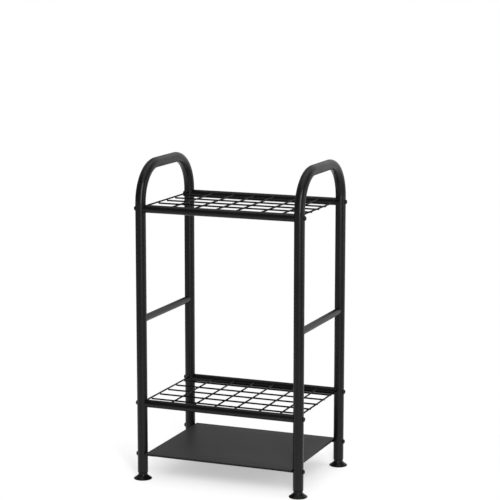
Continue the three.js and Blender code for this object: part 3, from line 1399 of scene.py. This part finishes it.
@dataclass
class BasePlate:
    """The sheet at the bottom, with folded edges and a threaded bush at each leg."""

    node: str = "base_plate"
    sheet: float = 1.5 * MM
    edge_height: float = 6.6 * MM
    hem_width: float = 20 * MM
    flat_hems: float = 3.0
    edge_round: float = 0.6 * MM
    corner_round: float = 1.6 * MM
    least_round: float = 0.4 * MM
    corner_steps: int = 6
    bush_radius: float = 5.8 * MM
    bush_bore: float = 4.3 * MM
    bush_length: float = 25 * MM
    bush_chamfer: float = 0.5 * MM
    bore_chamfer: float = 0.01 * MM
    bush_sides: int = 40
    bead_radius: float = 1.3 * MM
    bead_shares: Span = (0.3, 0.95)
    bead_ripples: int = 9
    bead_depth_share: float = 0.18
    bead_steps: int = 70

    def loop(self, inset: float, height: float) -> np.ndarray:
        """A rounded rectangle inside the plate's outline.

        Args:
            inset: how far it lies inside the outline.
            height: how high it lies.

        Returns:
            The points of the loop.
        """
        low, high = box(self.node)
        half = np.array([(high.x - low.x) / 2, (high.y - low.y) / 2]) - inset
        rounding = max(self.corner_round - inset, self.least_round)
        points = []
        for quarter, (sx, sy) in enumerate([(1, 1), (-1, 1), (-1, -1), (1, -1)]):
            for step in range(self.corner_steps + 1):
                angle = (quarter + step / self.corner_steps) * math.pi / 2
                x = sx * (half[0] - rounding) + rounding * math.cos(angle)
                y = sy * (half[1] - rounding) + rounding * math.sin(angle)
                points.append((x, y, height))
        return np.array(points)

    def folded_sheet(self) -> bpy.types.Mesh:
        """The sheet with its edge folded down and back under.

        Returns:
            The mesh.
        """
        top = box(self.node)[1].z
        foot, sheet, edge = top - self.edge_height, self.sheet, self.edge_round
        flat, hem_round = self.flat_hems * self.hem_width, sheet / 3
        outline = filleted(
            [
                (flat, top, 0),
                (0, top, edge),
                (0, foot, edge),
                (self.hem_width, foot, hem_round),
                (self.hem_width, foot + sheet, hem_round),
                (sheet, foot + sheet, 0),
                (sheet, top - sheet, 0),
                (flat, top - sheet, 0),
            ]
        )
        rings = [self.loop(inset, height) for inset, height in outline]
        return skinned(self.node, rings, Ends.CAPPED)

    def bush_places(self) -> list[Vector]:
        """The middle of each bush.

        Returns:
            The places, one for each leg.
        """
        end = box(self.node)[1].x - self.bush_length / 2
        places = []
        for corner in CORNERS:
            bolt = middle(f"base_bolt_{corner.name}")
            places.append(Vector((corner.side.value * end, bolt.y, bolt.z)))
        return places

    def bush(self, radius: float, length: float, chamfer: float) -> bpy.types.Mesh:
        """A round bar along X, for the bush or for its bore.

        Args:
            radius: its radius.
            length: its length.
            chamfer: the width of the chamfer at its ends.

        Returns:
            The mesh, with its middle at the origin.
        """
        half = length / 2
        outline = np.array(
            [
                (0, -half),
                (radius - chamfer, -half),
                (radius, chamfer - half),
                (radius, half - chamfer),
                (radius - chamfer, half),
                (0, half),
            ]
        )
        return moved(turned("bush", outline, self.bush_sides), (0, 0, 0), math.pi / 2, "Y")

    def build(self) -> Piece:
        """The finished plate.

        Returns:
            The piece.
        """
        places, bore_length = self.bush_places(), self.bush_length + 2 * self.sheet
        bush = self.bush(self.bush_radius, self.bush_length, self.bush_chamfer)
        bore = self.bush(self.bush_bore, bore_length, self.bore_chamfer)
        bushes = joined("bushes", [moved(bush, place) for place in places])
        bores = joined("bores", [moved(bore, place) for place in places])
        mesh = worked(self.folded_sheet(), bushes, "UNION")
        mesh = worked(mesh, bores, "DIFFERENCE")
        return Piece("base_plate_sheet", mesh, PLATE_COAT, "frame", [self.node])

    def bead_paths(self) -> list[np.ndarray]:
        """The weld's path along both sides of each bush.

        Returns:
            The paths.
        """
        low, sunk = box(self.node)[1].z - self.edge_height, self.bead_radius / 3
        paths = []
        for place in self.bush_places():
            aside = math.sqrt(self.bush_radius**2 - (low - place.z) ** 2)
            inner = place.x - math.copysign(self.bush_length / 2, place.x)
            lengths = [share * self.bush_length for share in self.bead_shares]
            ends = [inner + math.copysign(length, place.x) for length in lengths]
            for way in (-1, 1):
                y = place.y + way * (aside + sunk)
                paths.append(np.array([(x, y, low - sunk) for x in ends]))
        return paths


@dataclass
class BoltSet:
    """The dome head bolts that hold rails and plate to the legs."""

    PLACES = ("base", "lower_rail", "upper_rail")

    shank_radius: float = 4 * MM
    root_radius: float = 3.4 * MM
    head_radius: float = 7 * MM
    head_height: float = 4.4 * MM
    head_edge: float = 1.3 * MM
    head_round: float = 0.35 * MM
    flat_radius: float = 3.3 * MM
    dome_steps: int = 10
    dome_power: float = 2.2
    socket_width: float = 5 * MM
    socket_depth: float = 2.6 * MM
    socket_point: float = 0.5 * MM
    socket_chamfer: float = 0.35 * MM
    socket_sides: int = 6
    overrun: float = 1 * MM
    length: float = 52.6 * MM
    thread_length: float = 22 * MM
    pitch: float = 1.25 * MM
    sides: int = 40
    seed: int = 11

    def outline(self) -> np.ndarray:
        """The turned shape of the head and shank.

        Returns:
            Radius and height, one point a row, with the head's underside at 0.
        """
        dome, height = [], self.head_height - self.head_edge
        for step in range(1, self.dome_steps + 1):
            share = step / self.dome_steps
            radius = self.head_radius + (self.flat_radius - self.head_radius) * share
            fall = (radius - self.flat_radius) / (self.head_radius - self.flat_radius)
            rise = height * math.sqrt(max(1 - fall**self.dome_power, 0))
            dome.append((radius, self.head_edge + rise, 0))
        rim = [
            (self.shank_radius, 0, 0),
            (self.head_radius, 0, self.head_round),
            (self.head_radius, self.head_edge, 0),
            *dome,
            (0, self.head_height, 0),
        ]
        ends = (-self.length, self.thread_length - self.length)
        shank = thread_outline(self.root_radius, self.shank_radius, self.pitch, *ends)
        return np.concatenate([shank, filleted(rim)])

    def blank(self) -> bpy.types.Mesh:
        """One bolt with its hexagon socket.

        Returns:
            The mesh, along +X, with the underside of its head at the origin.
        """
        blank = turned("bolt", self.outline(), self.sides)
        corner = self.socket_width / math.sqrt(3)
        mouth, floor = corner + self.socket_chamfer, self.head_height - self.socket_depth
        top, above = self.head_height, self.head_height + self.overrun
        point = floor - self.socket_point
        socket = np.array([(0, point), (corner, floor), (corner, above), (0, above)])
        sink = np.array([(0, top - mouth), (mouth + self.overrun, above), (0, above)])
        for outline, sides in ((socket, self.socket_sides), (sink, self.sides)):
            blank = worked(blank, turned("socket", outline, sides), "DIFFERENCE")
        return moved(smoothed(blank), (0, 0, 0), math.pi / 2, "Y")

    def build(self, recipe: Recipe) -> Piece:
        """All the bolts.

        Args:
            recipe: the bolt recipe.

        Returns:
            The piece.
        """
        nodes, seats, turns = [], [], []
        for corner in CORNERS:
            for place in self.PLACES:
                node = f"{place}_bolt_{corner.name}"
                low, high = box(node)
                outer = high.x if corner.side is Side.RIGHT else low.x
                seat = outer - corner.side.value * self.head_height
                nodes.append(node)
                seats.append(Vector((seat, middle(node).y, middle(node).z)))
                turns.append(0.0 if corner.side is Side.RIGHT else math.pi)
        sample = shown("bolt_sample", self.blank())
        values = {"Bolt": sample, "Seed": self.seed, "Finish": PLATED.material()}
        mesh = recipe.run("rack_bolts", points_mesh("seats", seats, turns), values)
        bpy.data.objects.remove(sample)
        return Piece("rack_bolts", mesh, PLATED, "frame", nodes)


def thread_outline(root: float, crest: float, pitch: float, low: float, high: float) -> np.ndarray:
    """Ridges like a thread's, with a chamfered tip, for a turned piece.

    Args:
        root: the radius at the bottom of the ridges.
        crest: the radius at their top.
        pitch: the distance from ridge to ridge.
        low: the height of the tip.
        high: the height where the ridges end.

    Returns:
        Radius and height, one point a row.
    """
    count = int((high - low - pitch) / pitch)
    points = [(0, low), (root - pitch / 4, low), (root, low + pitch / 2)]
    for ridge in range(count):
        base, radii = low + pitch * (ridge + RIDGE_START), (root, crest, crest, root)
        points += [(radius, base + pitch * share) for radius, share in zip(radii, RIDGE_SHARES)]
    points.append((crest, high))
    return np.array(points)


@dataclass
class LegPlug:
    """The plug in a leg's end: a flange under the tube, ribs inside it and a thread."""

    corner: Corner
    flange_radius: float = 15.9 * MM
    flange_foot_radius: float = 15.2 * MM
    flange_height: float = 2 * MM
    flange_foot_share: float = 0.45
    rib_radius: float = 14.2 * MM
    core_radius: float = 12.6 * MM
    rib_count: int = 6
    rib_start: float = 0.4
    rib_shares: Triple = (0.1, 0.45, 0.55)
    bore_radius: float = 4.3 * MM
    edge_round: float = 0.3 * MM
    foot_round: float = 0.4 * MM
    flange_round: float = 0.6 * MM
    seat_round: float = 0.2 * MM
    top_round: float = 0.5 * MM
    round_steps: int = 3
    sides: int = 64

    @property
    def node(self) -> str:
        """The solid that this plug stands for."""
        return f"leg_plug_{self.corner.name}"

    def outline(self) -> np.ndarray:
        """The turned shape of the plug's wall.

        Returns:
            Radius and height of a closed outline, one point a row.
        """
        low, high = box(self.node)
        flange = low.z + self.flange_height
        slope = low.z + self.flange_foot_share * self.flange_height
        pitch = (high.z - flange) / self.rib_count
        corners = [
            (self.bore_radius, low.z, self.edge_round),
            (self.flange_foot_radius, low.z, self.foot_round),
            (self.flange_radius, slope, self.flange_round),
            (self.flange_radius, flange, self.seat_round),
            (self.core_radius, flange, 0),
        ]
        for rib in range(self.rib_count):
            base = flange + pitch * (rib + self.rib_start)
            rise, fall, foot = [base + share * pitch for share in self.rib_shares]
            corners += [
                (self.core_radius, base, 0),
                (self.rib_radius, rise, self.edge_round),
                (self.rib_radius, fall, self.edge_round),
                (self.core_radius, foot, 0),
            ]
        corners.append((self.core_radius, high.z, self.top_round))
        corners.append((self.bore_radius, high.z, self.edge_round))
        return filleted(corners, closed=True, steps=self.round_steps)

    def build(self) -> Piece:
        """The finished plug.

        Returns:
            The piece.
        """
        mesh = turned(self.node, self.outline(), self.sides, Ends.LOOPED)
        mesh = moved(mesh, self.corner.place)
        return Piece(f"{self.node}_insert", mesh, PLASTIC, "frame", [self.node])


@dataclass
class FootScrew:
    """The foot's screw: a spigot in the pad, a round neck and a threaded stud."""

    corner: Corner
    spigot_radius: float = 9 * MM
    spigot_round: float = 0.8 * MM
    neck_radius: float = 14.4 * MM
    neck_foot_radius: float = 15.3 * MM
    neck_foot_height: float = 2.4 * MM
    neck_foot_edge: float = 0.4 * MM
    neck_foot_round: float = 0.2 * MM
    neck_round: float = 0.5 * MM
    neck_flare: float = 3 * MM
    neck_low: float = 12.3 * MM
    neck_high: float = 19.9 * MM
    seat_round: float = 0.3 * MM
    round_steps: int = 5
    crest_radius: float = 4 * MM
    root_radius: float = 3.35 * MM
    stud_sunk: float = 0.5 * MM
    pitch: float = 1.25 * MM
    pitch_steps: int = 6
    ridge_slope: float = 1.5
    ridge_drop: float = 0.25
    tip: float = 1.2 * MM
    tip_chamfer: float = 0.5 * MM
    sides: int = 48
    thread_sides: int = 30

    @property
    def node(self) -> str:
        """The solid that this screw stands for."""
        return f"foot_screw_{self.corner.name}"

    def neck(self) -> bpy.types.Mesh:
        """The spigot and the neck.

        Returns:
            The mesh, about the origin's axis.
        """
        low, seat = box(self.node)[0].z, self.neck_low
        corners = [
            (0, low, 0),
            (self.spigot_radius, low, self.spigot_round),
            (self.spigot_radius, seat, self.seat_round),
            (self.neck_foot_radius, seat, self.neck_foot_round),
            (self.neck_foot_radius, seat + self.neck_foot_edge, self.neck_foot_round),
            (self.neck_radius, seat + self.neck_foot_height, self.neck_flare),
            (self.neck_radius, self.neck_high, self.neck_round),
            (0, self.neck_high, 0),
        ]
        return turned("neck", filleted(corners, steps=self.round_steps), self.sides)

    def stud(self) -> bpy.types.Mesh:
        """The threaded stud, whose ridge climbs one pitch a turn.

        Returns:
            The mesh, about the origin's axis.
        """
        high = box(self.node)[1].z
        low = self.neck_high - self.stud_sunk
        heights = np.arange(low, high, self.pitch / self.pitch_steps)
        angles = np.linspace(0, TURN, self.thread_sides, endpoint=False)
        rings = [self.stud_ring(angles, 0, low)]
        for height in heights:
            phase = (height / self.pitch - angles / TURN) % 1
            ridge = np.clip(np.abs(2 * phase - 1) * self.ridge_slope - self.ridge_drop, 0, 1)
            fade = min(1, (high - height) / self.tip)
            crest = self.root_radius + (self.crest_radius - self.root_radius) * ridge * fade
            rings.append(self.stud_ring(angles, crest, height))
        for radius in (self.root_radius - self.tip_chamfer, 0):
            rings.append(self.stud_ring(angles, radius, high))
        return skinned("stud", rings, Ends.CAPPED)

    @staticmethod
    def stud_ring(angles: np.ndarray, radius: np.ndarray | float, height: float) -> np.ndarray:
        """A level ring of the stud."""
        columns = (radius * np.cos(angles), radius * np.sin(angles), np.full(len(angles), height))
        return np.stack(columns, axis=1)

    def build(self) -> Piece:
        """The finished screw.

        Returns:
            The piece.
        """
        mesh = joined(self.node, [self.neck(), self.stud()])
        mesh, body = moved(mesh, self.corner.place), f"screw_{self.corner.name}"
        return Piece(f"{self.node}_turned", mesh, PLATED, body, [self.node])


@dataclass
class FootPad:
    """The round pad that a leg stands on, with a bell shaped top and a grooved sole."""

    corner: Corner
    radius: float = 28.3 * MM
    groove_depth: float = 0.8 * MM
    groove_width: float = 1.2 * MM
    groove_count: int = 5
    first_groove: float = 1.2
    groove_room: float = 1.6
    bevel: float = 0.5 * MM
    bevel_height: float = 0.6 * MM
    bevel_round: float = 0.5 * MM
    sole_round: float = 0.3 * MM
    edge_height: float = 2.3 * MM
    edge_round: float = 0.8 * MM
    shoulder_radius: float = 22 * MM
    shoulder_height: float = 6.7 * MM
    shoulder_round: float = 14 * MM
    crown_radius: float = 17.2 * MM
    crown_height: float = 10.4 * MM
    crown_round: float = 5 * MM
    collar_radius: float = 15.6 * MM
    socket_radius: float = 9.3 * MM
    socket_floor: float = 4 * MM
    socket_round: float = 0.4 * MM
    round_steps: int = 6
    sides: int = 80

    @property
    def node(self) -> str:
        """The solid that this pad stands for."""
        return f"foot_pad_{self.corner.name}"

    def outline(self) -> np.ndarray:
        """The turned shape from the middle of the sole to the socket's floor.

        Returns:
            Radius and height, one point a row.
        """
        top = box(self.node)[1].z
        corners = [(0, 0, 0)]
        for groove in range(self.groove_count):
            start = self.radius * (groove + self.first_groove)
            start = start / (self.groove_count + self.groove_room)
            end = start + self.groove_width
            corners += [
                (start, 0, 0),
                (start + self.groove_depth / 2, self.groove_depth, 0),
                (end, self.groove_depth, 0),
                (end + self.groove_depth / 2, 0, 0),
            ]
        corners += [
            (self.radius - self.bevel, 0, self.sole_round),
            (self.radius, self.bevel_height, self.bevel_round),
            (self.radius, self.edge_height, self.edge_round),
            (self.shoulder_radius, self.shoulder_height, self.shoulder_round),
            (self.crown_radius, self.crown_height, self.crown_round),
            (self.collar_radius, top, self.socket_round),
            (self.socket_radius, top, self.socket_round),
            (self.socket_radius, self.socket_floor, self.socket_round),
            (0, self.socket_floor, 0),
        ]
        return filleted(corners, steps=self.round_steps)

    def build(self) -> Piece:
        """The finished pad.

        Returns:
            The piece.
        """
        mesh = turned(self.node, self.outline(), self.sides)
        mesh, body = moved(mesh, self.corner.place), f"pad_{self.corner.name}"
        return Piece(f"{self.node}_moulded", mesh, PLASTIC, body, [self.node])


@dataclass
class Welds:
    """The weld beads of the cross bars and of the plate's bushes."""

    cross_bars: Sequence[CrossBar]
    plate: BasePlate

    @staticmethod
    def beads(
        name: str,
        recipe: Recipe,
        maker: CrossBar | BasePlate,
        paths: bpy.types.Mesh,
        finish: Finish,
    ) -> Piece:
        """Beads of one size.

        Args:
            name: the piece's name.
            recipe: the bead recipe.
            maker: what is welded, which knows the beads' size.
            paths: the paths that they follow.
            finish: what they are coated with.

        Returns:
            The piece.
        """
        values = {
            "Radius": maker.bead_radius,
            "Ripples": float(maker.bead_ripples),
            "Ripple Depth": maker.bead_depth_share,
            "Steps": maker.bead_steps,
            "Finish": finish.material(),
        }
        return Piece(name, recipe.run(name, paths, values), finish, "frame")

    def build(self, recipe: Recipe) -> list[Piece]:
        """All the beads.

        Args:
            recipe: the bead recipe.

        Returns:
            One piece for the cross bars and one for the plate.
        """
        rounds = [path for cross_bar in self.cross_bars for path in cross_bar.bead_paths()]
        rounds = path_mesh("rounds", rounds, True)
        lines = path_mesh("lines", self.plate.bead_paths(), False)
        return [
            self.beads("cross_bar_weld_beads", recipe, self.cross_bars[0], rounds, COAT),
            self.beads("bush_weld_beads", recipe, self.plate, lines, PLATE_COAT),
        ]


@dataclass
class Rack:
    """The whole rack, as the objects of its finished pieces."""

    pieces: list[bpy.types.Object] = field(default_factory=list)

    def add(self, piece: Piece) -> None:
        """Hands a piece over and keeps its object."""
        self.pieces.append(piece.hand_over())

    def build(self) -> None:
        """Builds every piece in order."""
        wires, nuggets, beads, bolts = wire_recipe(), nugget_recipe(), bead_recipe(), bolt_recipe()
        cross_bars = [CrossBar(side) for side in Side]
        plate = BasePlate()
        for side in Side:
            self.add(Hoop(side).build())
        for cross_bar in cross_bars:
            self.add(cross_bar.build())
        for level in Level:
            for face in Face:
                self.add(Rail(level, face).build())
            self.add(WireGrid(level).build(wires, nuggets))
        self.add(plate.build())
        for piece in Welds(cross_bars, plate).build(beads):
            self.add(piece)
        self.add(BoltSet().build(bolts))
        for corner in CORNERS:
            for part in (LegPlug(corner), FootScrew(corner), FootPad(corner)):
                self.add(part.build())


@dataclass(frozen=True)
class Lamp:
    """A soft rectangular lamp."""

    name: str
    place: Triple
    aim: Triple
    width: float
    height: float
    power: float

    def hang(self) -> None:
        """Adds the lamp to the scene."""
        light = bpy.data.lights.new(self.name, "AREA")
        light.shape, light.size, light.size_y = "RECTANGLE", self.width, self.height
        light.energy = self.power
        lamp = bpy.data.objects.new(self.name, light)
        lamp.location = self.place
        away = Vector(self.place) - Vector(self.aim)
        lamp.rotation_mode = "QUATERNION"
        lamp.rotation_quaternion = away.to_track_quat("Z", "Y")
        bpy.context.scene.collection.objects.link(lamp)


@dataclass
class Studio:
    """The pale floor, the lamps and the camera."""

    azimuth: float = 22.195
    elevation: float = 9.81
    distance: float = 5.713
    aim_height: float = 0.6959
    lens: float = 133.72
    sensor: float = 36.0
    shift: Span = (0.0163, 0.0063)
    floor_reach: float = 1.6
    floor_drop: float = 0.2 * MM
    floor_grey: float = 0.9
    floor_lift: float = 0.42
    floor_fade: Span = (0.3, 1.0)
    # painted light: extra glow on the floor in front of the rack, and where it fades in along Y
    front_lift: float = 0.3
    front_painted_light_fade: Span = (-0.05, -0.2)
    clip: Span = (0.1, 200.0)
    horizon: Span = (-0.1, 0.05)
    ground: Span = (-0.45, -0.25)
    back_range: Span = (0.0, 0.6)
    side_range: Span = (0.0, 0.3)
    low_side_range: Span = (0.3, 0.7)
    sky_light: float = 0.8
    sky_gloss: float = 0.1
    sky_middle: float = 0.25
    sky_side: float = 0.65
    ground_gloss: float = 0.6
    lamps: Sequence[Lamp] = (
        Lamp("overhead", (0.1, -0.1, 3.6), (0.0, 0.0, 0.5), 3.0, 3.0, 34.0),
        Lamp("front_strip", (1.9, -3.2, 2.1), (0.0, 0.0, 0.6), 0.8, 3.6, 130.0),
        Lamp("right_fill", (3.4, 0.4, 1.4), (0.0, 0.0, 0.5), 1.6, 2.4, 25.0),
    )

    @staticmethod
    def rays(graph: Graph) -> tuple[Value, Value, Value]:
        """1 for camera rays, for glossy rays and for transmission rays, and 0 for the rest."""
        camera = graph.add("ShaderNodeLightPath", output="Is Camera Ray")
        return camera, camera.other("Is Glossy Ray"), camera.other("Is Transmission Ray")

    def seen(self, graph: Graph) -> Value:
        """1 for rays that show the floor, straight or in a reflection, and 0 for light."""
        camera, glossy, through = self.rays(graph)
        return graph.math("MAXIMUM", graph.math("MAXIMUM", camera, glossy), through)

    def build_world(self) -> None:
        """A world that is white to look at and dimmer as light."""
        world = bpy.data.worlds.new("studio")
        world.use_nodes = True
        world.node_tree.nodes.clear()
        graph = Graph(world.node_tree)
        way = graph.add("ShaderNodeTexCoord", output="Generated")
        turn = math.radians(self.azimuth)
        axes = ((-math.sin(turn), math.cos(turn), 0), (math.cos(turn), math.sin(turn), 0))
        dot = {"operation": "DOT_PRODUCT"}
        behind, aside = [
            graph.add("ShaderNodeVectorMath", dot, {0: way, 1: axis}, "Value") for axis in axes
        ]
        rise = graph.along(way, "Z")
        above, back = rise.ramp(*self.horizon), behind.ramp(*self.back_range)
        side, low_side = aside.ramp(*self.side_range), aside.ramp(*self.low_side_range)
        bright = graph.math("MAXIMUM", low_side, 1 - rise.ramp(*self.ground))
        camera, glossy, through = self.rays(graph)
        high = self.sky_gloss + back * (self.sky_middle + self.sky_side * side)
        lit = self.sky_gloss + (1 - self.sky_gloss) * bright
        low = self.ground_gloss * (1 - back) + lit * back
        backdrop = high * above + low * (1 - above)
        white = graph.math("MAXIMUM", camera, through)
        strength = white + (1 - white) * (glossy * backdrop + (1 - glossy) * self.sky_light)
        sky = graph.add("ShaderNodeBackground", {}, {"Color": (1, 1, 1), "Strength": strength})
        graph.add("ShaderNodeOutputWorld", {}, {"Surface": sky})
        bpy.context.scene.world = world

    def build_floor(self) -> None:
        """A wide pale floor that keeps the rack's shadow, with a painted glow that pales it away
        from the rack and in front of it, and is clear from below.
        """
        ways = ((-1, -1), (1, -1), (1, 1), (-1, 1))
        corners = [(x * self.floor_reach, y * self.floor_reach, -self.floor_drop) for x, y in ways]
        mesh = bpy.data.meshes.new("floor")
        mesh.from_pydata(corners, [], [(0, 1, 2, 3)])
        paint = bpy.data.materials.new("pale_floor")
        paint.use_nodes = True
        paint.node_tree.nodes.clear()
        graph = Graph(paint.node_tree)
        matt = graph.add("ShaderNodeBsdfDiffuse", {}, {"Color": (self.floor_grey,) * 3})
        place = graph.add("ShaderNodeTexCoord", output="Object")
        away = graph.add("ShaderNodeVectorMath", {"operation": "LENGTH"}, {0: place}, "Value")
        front = graph.along(place, "Y").ramp(*self.front_painted_light_fade)
        # painted light: for rays that show the floor, its glow is stronger in front of the rack,
        # paling the shadow there, and rises to pure white away from it
        lift = self.floor_lift + self.front_lift * front
        lift = lift + (1 - lift) * away.ramp(*self.floor_fade)
        white = graph.add("ShaderNodeEmission", {}, {"Color": (1, 1, 1), "Strength": 1.0})
        share = self.seen(graph) * lift
        above = graph.add("ShaderNodeMixShader", {}, {0: share, 1: matt, 2: white})
        below = graph.add("ShaderNodeNewGeometry", output="Backfacing")
        clear = graph.add("ShaderNodeBsdfTransparent")
        both = graph.add("ShaderNodeMixShader", {}, {0: below, 1: above, 2: clear})
        graph.add("ShaderNodeOutputMaterial", {}, {"Surface": both})
        mesh.materials.append(paint)
        shown("floor", mesh)

    def build_camera(self) -> None:
        """The camera at the photograph's angle."""
        turn, rise = math.radians(self.azimuth), math.radians(self.elevation)
        level = math.cos(rise)
        way = Vector((math.sin(turn) * level, -math.cos(turn) * level, math.sin(rise)))
        data = bpy.data.cameras.new("camera")
        data.lens, data.sensor_width = self.lens, self.sensor
        data.shift_x, data.shift_y = self.shift
        data.clip_start, data.clip_end = self.clip
        camera = bpy.data.objects.new("camera", data)
        camera.location = Vector((0, 0, self.aim_height)) + way * self.distance
        camera.rotation_mode = "QUATERNION"
        camera.rotation_quaternion = way.to_track_quat("Z", "Y")
        bpy.context.scene.collection.objects.link(camera)
        bpy.context.scene.camera = camera

    def build(self) -> None:
        """Builds the studio."""
        bpy.context.scene.view_settings.view_transform = "Standard"
        self.build_world()
        self.build_floor()
        self.build_camera()
        for lamp in self.lamps:
            lamp.hang()


def main() -> None:
    """Builds the rack and its studio, and logs how many pieces it has."""
    logging.basicConfig(level=logging.INFO, format="%(name)s %(message)s")
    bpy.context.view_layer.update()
    rack = Rack()
    rack.build()
    LOG.info("%d pieces in all", len(rack.pieces))
    Studio().build()


if __name__ == "__main__":
    main()
